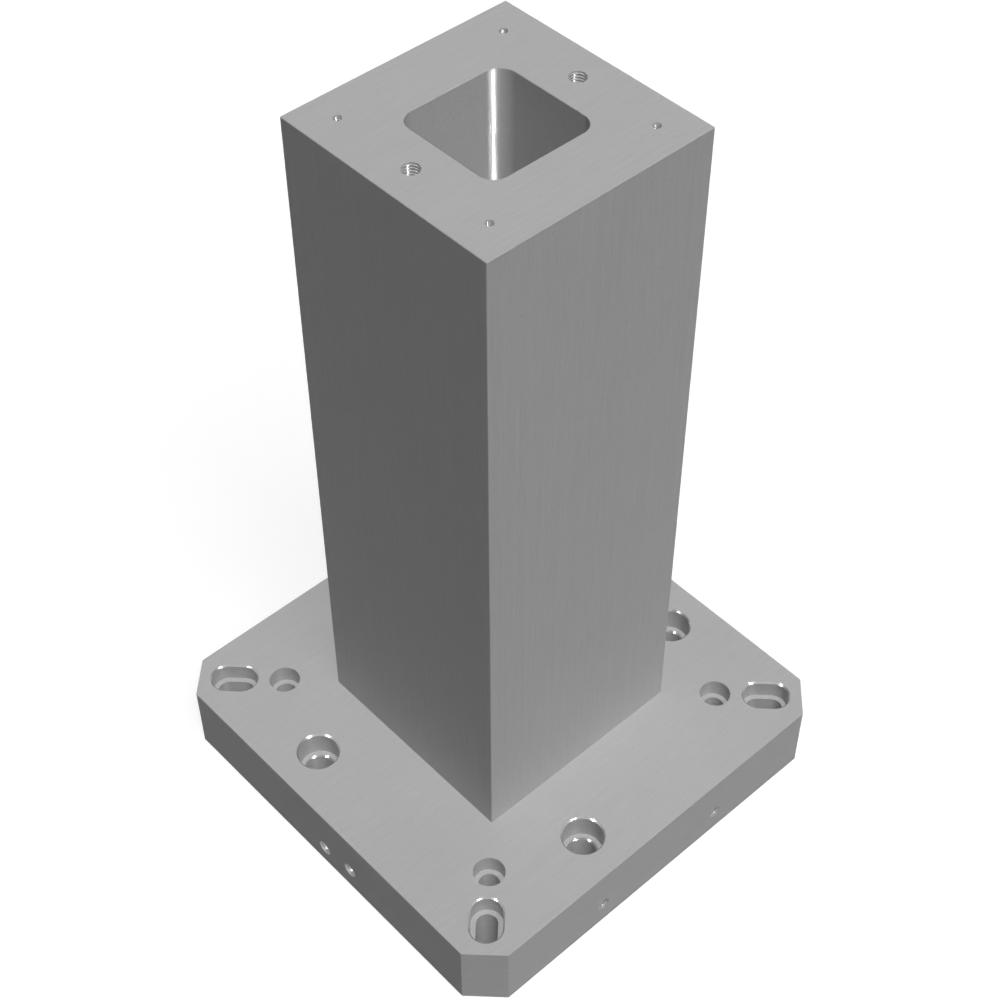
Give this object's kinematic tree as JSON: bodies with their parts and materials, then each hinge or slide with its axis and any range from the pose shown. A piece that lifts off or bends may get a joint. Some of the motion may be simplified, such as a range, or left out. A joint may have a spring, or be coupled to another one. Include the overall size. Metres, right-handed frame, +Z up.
{
  "type": "cnc tombstone fixture",
  "caption": "Square hollow column on a square base plate, cast in one piece, with counterbored holes and corner slots to bolt it to a machine table and blank faces for workpieces.",
  "frame": {"origin": "centre of the base plate's underside", "axes": "+Z up along the column, -Y to the front, where the pair of stop holes is, +X to the right"},
  "size_m": [0.3, 0.3, 0.5],
  "materials": {
    "ground_cast_iron": "ground, satin"
  },
  "bodies": {
    "root": {"tombstone": "ground_cast_iron"}
  },
  "joints": []
}
